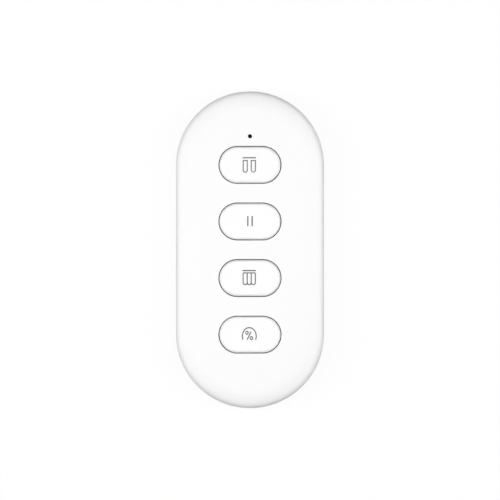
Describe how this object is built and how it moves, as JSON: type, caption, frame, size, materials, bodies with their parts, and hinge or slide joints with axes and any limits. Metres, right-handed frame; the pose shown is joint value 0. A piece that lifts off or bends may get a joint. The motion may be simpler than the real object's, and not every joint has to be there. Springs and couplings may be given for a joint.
{
  "type": "curtain remote control",
  "caption": "Slim handheld remote control with round ends, rigid keys marked open, pause, close and percent, an indicator, and a sliding battery door over a coin cell.",
  "frame": {"origin": "centre of the flat back, on the surface that it rests on", "axes": "+X to the right across the keys, +Y towards the indicator end, +Z out of the front face"},
  "size_m": [0.049, 0.105, 0.0132],
  "materials": {
    "shell_plastic": "fine matt moulding",
    "key_plastic": "smooth satin moulding",
    "pad_silicone": "matt",
    "switch_plastic": "matt",
    "plunger_plastic": "satin",
    "cover_steel": "stamped",
    "spring_steel": "nickel plated",
    "cell_steel": "satin",
    "screw_steel": "zinc plated",
    "solder_tin": "soldered",
    "board_laminate": "solder mask",
    "antenna_copper": "bare",
    "chip_epoxy": "matt",
    "capacitor_epoxy": "matt",
    "lamp_plastic": "clear epoxy",
    "pipe_plastic": "smoked"
  },
  "bodies": {
    "case": {"front_shell": "shell_plastic", "rear_shell": "shell_plastic", "switch_terminals": "solder_tin", "circuit_board": "board_laminate", "case_screws": "screw_steel", "coin_cell_can": "cell_steel", "coin_cell_cap": "cell_steel", "positive_contact": "spring_steel", "negative_contact": "spring_steel", "indicator_lamp": "lamp_plastic", "light_pipe": "pipe_plastic", "radio_module_board": "board_laminate", "radio_shield": "cell_steel", "radio_antenna": "antenna_copper", "controller_chip": "chip_epoxy", "bulk_capacitor": "capacitor_epoxy", "crystal_can": "cell_steel", "chip_capacitors": "capacitor_epoxy", "chip_resistors": "chip_epoxy", "open_switch_base": "switch_plastic", "open_switch_dome": "spring_steel", "open_switch_cover": "cover_steel", "pause_switch_base": "switch_plastic", "pause_switch_dome": "spring_steel", "pause_switch_cover": "cover_steel", "close_switch_base": "switch_plastic", "close_switch_dome": "spring_steel", "close_switch_cover": "cover_steel", "percent_switch_base": "switch_plastic", "percent_switch_dome": "spring_steel", "percent_switch_cover": "cover_steel", "pairing_switch_base": "switch_plastic", "pairing_switch_dome": "spring_steel", "pairing_switch_cover": "cover_steel"},
    "open_key": {"open_key_cap": "key_plastic", "open_key_pad": "pad_silicone", "open_switch_plunger": "plunger_plastic"},
    "pause_key": {"pause_key_cap": "key_plastic", "pause_key_pad": "pad_silicone", "pause_switch_plunger": "plunger_plastic"},
    "close_key": {"close_key_cap": "key_plastic", "close_key_pad": "pad_silicone", "close_switch_plunger": "plunger_plastic"},
    "percent_key": {"percent_key_cap": "key_plastic", "percent_key_pad": "pad_silicone", "percent_switch_plunger": "plunger_plastic"},
    "pairing_push": {"pairing_button": "key_plastic", "pairing_switch_plunger": "plunger_plastic"},
    "door": {"battery_door": "shell_plastic"}
  },
  "joints": [
    {"name": "open_key_press", "type": "slide", "parent": "case", "child": "open_key", "axis": [0, 0, -1], "range_m": [0, 0.0003], "stiffness_N_per_m": 6000, "deforming": ["open_switch_dome"]},
    {"name": "pause_key_press", "type": "slide", "parent": "case", "child": "pause_key", "axis": [0, 0, -1], "range_m": [0, 0.0003], "stiffness_N_per_m": 6000, "deforming": ["pause_switch_dome"]},
    {"name": "close_key_press", "type": "slide", "parent": "case", "child": "close_key", "axis": [0, 0, -1], "range_m": [0, 0.0003], "stiffness_N_per_m": 6000, "deforming": ["close_switch_dome"]},
    {"name": "percent_key_press", "type": "slide", "parent": "case", "child": "percent_key", "axis": [0, 0, -1], "range_m": [0, 0.0003], "stiffness_N_per_m": 6000, "deforming": ["percent_switch_dome"]},
    {"name": "pairing_press", "type": "slide", "parent": "case", "child": "pairing_push", "axis": [0, 0, 1], "range_m": [0, 0.00025], "stiffness_N_per_m": 6000, "deforming": ["pairing_switch_dome"]},
    {"name": "door_slide", "type": "slide", "parent": "case", "child": "door", "axis": [0, -1, 0], "range_m": [0, 0.044]}
  ]
}
